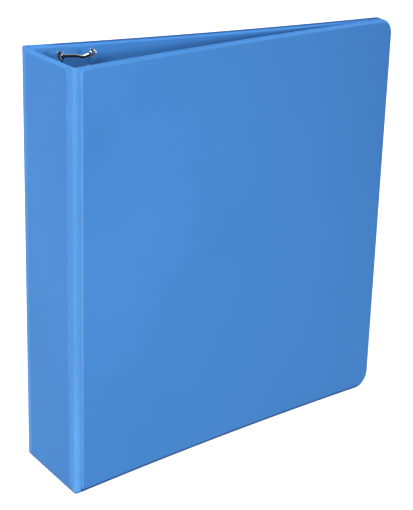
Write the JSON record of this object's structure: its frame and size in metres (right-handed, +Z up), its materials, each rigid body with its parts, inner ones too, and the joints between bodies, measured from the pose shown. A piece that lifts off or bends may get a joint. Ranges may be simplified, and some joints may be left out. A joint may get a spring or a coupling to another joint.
{
  "type": "ring binder",
  "caption": "Vinyl-covered three-panel binder standing closed, with a three-ring D-ring mechanism and trigger levers on the back cover.",
  "frame": {"origin": "centre of the closed binder's footprint, on the surface it stands on", "axes": "+Z up along the spine, +X from the spine to the fore edge, +Y from the front cover to the back cover"},
  "size_m": [0.2822, 0.071, 0.292],
  "materials": {
    "outer_vinyl": "satin blue vinyl",
    "inner_vinyl": "satin blue vinyl",
    "hinge_vinyl": "ribbed weld in blue vinyl",
    "pocket_vinyl": "satin blue vinyl sheet",
    "pulp_board": "grey pulp board",
    "bright_plate": "bright nickel plate",
    "ring_wire": "bright nickel plate",
    "blade_steel": "zinc-plated spring steel",
    "rivet_metal": "bright nickel plate"
  },
  "bodies": {
    "spine": {"spine_board": "pulp_board", "spine_outer_skin": "outer_vinyl", "spine_lining": "inner_vinyl", "front_hinge_web": "hinge_vinyl", "back_hinge_web": "hinge_vinyl"},
    "front_cover": {"front_board": "pulp_board", "front_outer_skin": "outer_vinyl", "front_lining": "inner_vinyl", "front_pocket": "pocket_vinyl"},
    "back_cover": {"back_board": "pulp_board", "back_outer_skin": "outer_vinyl", "back_lining": "inner_vinyl", "back_pocket": "pocket_vinyl", "ring_cover_plate": "bright_plate", "upper_rivet": "rivet_metal", "lower_rivet": "rivet_metal", "upper_lever_pin": "rivet_metal", "lower_lever_pin": "rivet_metal"},
    "spine_side_carrier": {"spine_side_blade": "blade_steel", "upper_ring_curved_half": "ring_wire", "middle_ring_curved_half": "ring_wire", "lower_ring_curved_half": "ring_wire"},
    "fore_side_carrier": {"fore_side_blade": "blade_steel", "upper_ring_post_half": "ring_wire", "middle_ring_post_half": "ring_wire", "lower_ring_post_half": "ring_wire"},
    "upper_lever": {"upper_lever": "bright_plate"},
    "lower_lever": {"lower_lever": "bright_plate"}
  },
  "joints": [
    {"name": "front_cover_hinge", "type": "hinge", "parent": "spine", "child": "front_cover", "pos_m": [-0.13953, -0.03476, 0.146], "axis": [0, 0, -1], "range_deg": [0, 180], "deforming": ["front_hinge_web"]},
    {"name": "back_cover_hinge", "type": "hinge", "parent": "spine", "child": "back_cover", "pos_m": [-0.13953, 0.03474, 0.146], "axis": [0, 0, 1], "range_deg": [0, 180], "deforming": ["back_hinge_web"]},
    {"name": "ring_opening", "type": "hinge", "parent": "back_cover", "child": "spine_side_carrier", "pos_m": [-0.11931, 0.02673, 0.146], "axis": [0, 0, -1], "range_deg": [0, 10]},
    {"name": "post_side_opening", "type": "hinge", "parent": "back_cover", "child": "fore_side_carrier", "pos_m": [-0.09649, 0.02316, 0.146], "axis": [0, 0, 1], "range_deg": [0, 10]},
    {"name": "upper_lever_press", "type": "hinge", "parent": "back_cover", "child": "upper_lever", "pos_m": [-0.10827, 0.02258, 0.2772], "axis": [-0.988, 0.1547, 0], "range_deg": [0, 20]},
    {"name": "lower_lever_press", "type": "hinge", "parent": "back_cover", "child": "lower_lever", "pos_m": [-0.10827, 0.02258, 0.0148], "axis": [0.988, -0.1547, 0], "range_deg": [0, 20]}
  ],
  "couplings": [
    {"joint": "post_side_opening", "follows": "ring_opening", "ratio": 1},
    {"joint": "upper_lever_press", "follows": "ring_opening", "ratio": 2},
    {"joint": "lower_lever_press", "follows": "ring_opening", "ratio": 2}
  ]
}
